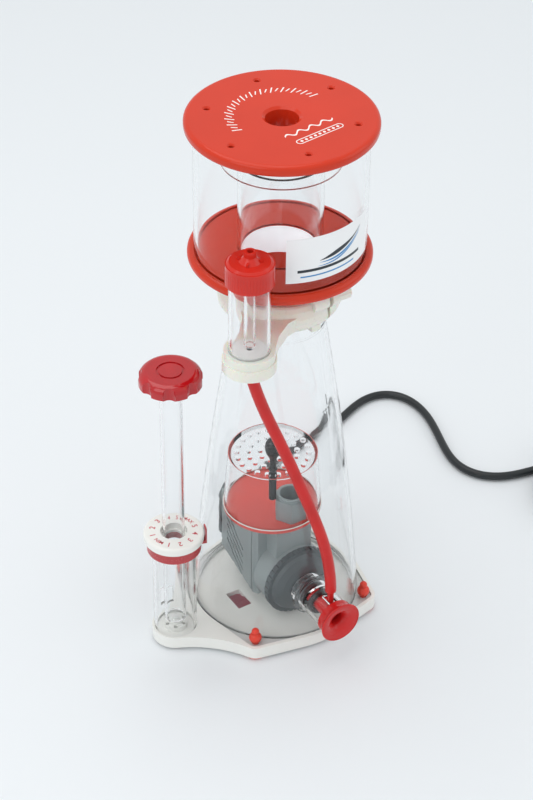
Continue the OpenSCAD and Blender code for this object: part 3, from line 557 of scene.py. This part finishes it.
def add_lid_print():
    """Plain decoration on the lid: a row of short slanted marks on an arc, a wave line and a
    rounded frame with dots in it."""
    marks = []
    for k, a in enumerate(np.linspace(182, 22, 27)):
        low, high = (33.4, 40.2) if k % 2 == 0 else (34.8, 38.8)
        wide, lean = 1.5, 3.5
        inner = arc_edge(low, a + wide / 2, a - wide / 2)
        outer = arc_edge(high, a - lean + wide / 2, a - lean - wide / 2)
        marks.append(slab(f"lid_mark_{k}", inner, outer, LID_TOP, PRINT_TOP, "print_white",
                          "cup_lid"))
    join_pieces("lid_marks", marks)
    x = np.linspace(-14, 28, 60)
    wave = -23 + 0.115 * (x - 7) + 1.9 * np.sin((x + 14) * TURN / 10.5)
    slab("lid_wave", np.column_stack([x, wave - 0.75]), np.column_stack([x, wave + 0.75]),
         LID_TOP, PRINT_TOP, "print_white", "cup_lid")
    angle = math.radians(6.6)
    turn = np.array([[math.cos(angle), math.sin(angle)], [-math.sin(angle), math.cos(angle)]])
    ring = circle(48)
    ends = np.column_stack([np.sign(ring[:, 0]) * 17.5, np.zeros(48)])
    centre = np.array([9.0, -33.7])
    outer, inner = (ring * 2.9 + ends) @ turn + centre, (ring * 2.2 + ends) @ turn + centre
    corners = [(inner, LID_TOP), (outer, LID_TOP), (outer, PRINT_TOP), (inner, PRINT_TOP)]
    rings = np.stack([np.column_stack([edge, np.full(48, z)]) for edge, z in corners], 1) * MM
    loft("lid_frame", rings, "print_white", "cup_lid", closed=True)
    dots = []
    for k, s in enumerate(np.linspace(-16, 16, 9)):
        mid = np.array([s, 0.0]) @ turn + centre
        edge = ring[:24] * 1.1 + mid
        other = ring[24:][::-1] * 1.1 + mid
        dots.append(slab(f"lid_dot_{k}", edge, other, LID_TOP, PRINT_TOP, "print_white",
                         "cup_lid"))
    join_pieces("lid_dots", dots)


CUP_R = 62.5
LABEL_T = 0.15


def wall_strip(name, turn, low, high, inner, outer, finish):
    """Strip on the cup's wall: at each angle of turn, in degrees, from height low to high, and from
    radius inner to outer, in mm."""
    a = np.radians(turn)
    low, high = np.broadcast_to(low, a.shape), np.broadcast_to(high, a.shape)
    corners = [(inner, low), (outer, low), (outer, high), (inner, high)]
    rings = np.stack([np.column_stack([r * np.cos(a), r * np.sin(a), z]) for r, z in corners], 1) * MM
    return loft(name, rings, finish, "collection_cup")


def add_label():
    """Blank sticker on the cup with a plain wave drawing: a dark crest, two blue bands under it, and
    two short bars."""
    wall_strip("cup_label", np.linspace(-119.5, -49, 72), 345.2, 381.4, CUP_R, CUP_R + LABEL_T,
               "label_paper")
    t = np.linspace(0, 1, 60)
    turn = -97 + 36 * t
    base = 361 + 13 * t ** 2.2
    crest = base + 0.15 + 8.5 * t * (1 - t) * (1.2 + np.sin(t * 5) * 0.5)
    face = (CUP_R + LABEL_T, CUP_R + LABEL_T + 0.08)
    wall_strip("label_crest", turn, base, crest, *face, "print_black")
    for k, (drop, thick) in enumerate(((1.5, 1.6), (4.2, 1.1))):
        wall_strip(f"label_band_{k}", turn - 1.5 * k, base - drop - thick * np.sin(t * math.pi) - 0.1,
                   base - drop, *face, "print_blue")
    wall_strip("label_bar_long", np.linspace(-112, -62, 50), 353.4, 355.6, *face, "print_black")
    wall_strip("label_bar_short", np.linspace(-110, -68, 50), 349.2, 350.3, *face, "print_blue")


DIAL_AT = (-93.4, 0.0)
DIAL_TOP = 108.4
WORD_H = 0.04               # half the height of the raised print
WORD_R = 16.6


def add_word(name, word, size, radius, degrees, finish, body):
    """Raised word on the dial, its foot towards the dial's axis and its middle at degrees."""
    curve = bpy.data.curves.new(name, "FONT")
    curve.body, curve.size, curve.align_x, curve.align_y = word, size, "CENTER", "CENTER"
    curve.extrude = WORD_H
    curve.offset = size * 0.01
    maker = bpy.data.objects.new(name + "_maker", curve)
    bpy.context.collection.objects.link(maker)
    bpy.context.view_layer.update()
    mesh = bpy.data.meshes.new_from_object(maker.evaluated_get(bpy.context.evaluated_depsgraph_get()))
    bpy.data.objects.remove(maker)
    co = np.empty(len(mesh.vertices) * 3)
    mesh.vertices.foreach_get("co", co)
    co = co.reshape(-1, 3)
    bend = math.radians(degrees) - co[:, 0] / radius
    out = radius + co[:, 1]
    placed = np.column_stack([DIAL_AT[0] + out * np.cos(bend), DIAL_AT[1] + out * np.sin(bend),
                              DIAL_TOP + WORD_H + co[:, 2]]) * MM
    mesh.vertices.foreach_set("co", placed.ravel())
    mesh.materials.clear()
    return keep_piece(name, mesh, finish, body)


def add_dial_print():
    """Two runs of 1 to 5 round the dial, one step each 30 degrees, between the end marks."""
    words = ["MAX", "5", "4", "3", "2", "1", "MIN", "1", "2", "3", "4", "5"]
    made = [add_word(f"dial_word_{k}", word, 6.2 if len(word) == 1 else 4.5, WORD_R, 17 - 30 * k,
                     "print_red", "outlet_valve") for k, word in enumerate(words)]
    join_pieces("dial_words", made)


# ---------- seams and edges, with painted highlights and glow ---

CHAMBER_AT = (-2.4, 2.0)


def add_seams_and_painted_light():
    """Lines and bands: a white band inside the cup's neck with a faint painted glow, no lamp; the white
    seam where the bubble chamber meets its deck, partly a painted highlight; a pink painted highlight
    on its top edge; and the lower edge of the lid's skirt."""
    # white band inside the neck with a painted glow, standing in for light seen through the clear neck
    turned("neck_glow_band", [(28.3, 313), (28.47, 313), (28.47, 335.6), (28.3, 335.6)], (0, 0),
           "painted_glow_white", "collection_cup")
    # white seam line, partly a painted highlight along the chamber's foot
    turned("chamber_seam_highlight", [(38.35, 98.55), (38.8, 98.6), (38.75, 99.3), (38.35, 99.4)], CHAMBER_AT,
           "seam_and_highlight_white", "skimmer_body")
    # painted highlight on the chamber's top edge, tinted pink
    turned("chamber_rim_highlight", [(34.3, 147.02), (34.9, 147.02), (34.8, 147.3), (34.35, 147.3)], CHAMBER_AT,
           "pink_rim_highlight", "skimmer_body")
    turned("skirt_edge", [(41.6, 409.8), (43.3, 409.8), (43.3, 409.95), (41.6, 409.95)], (0, 0),
           "edge_pink", "cup_lid")


add_camera()
add_lead()
add_studio()
finish_nodes()
add_hose()
add_lid_print()
add_label()
add_dial_print()
add_seams_and_painted_light()

bpy.context.view_layer.update()
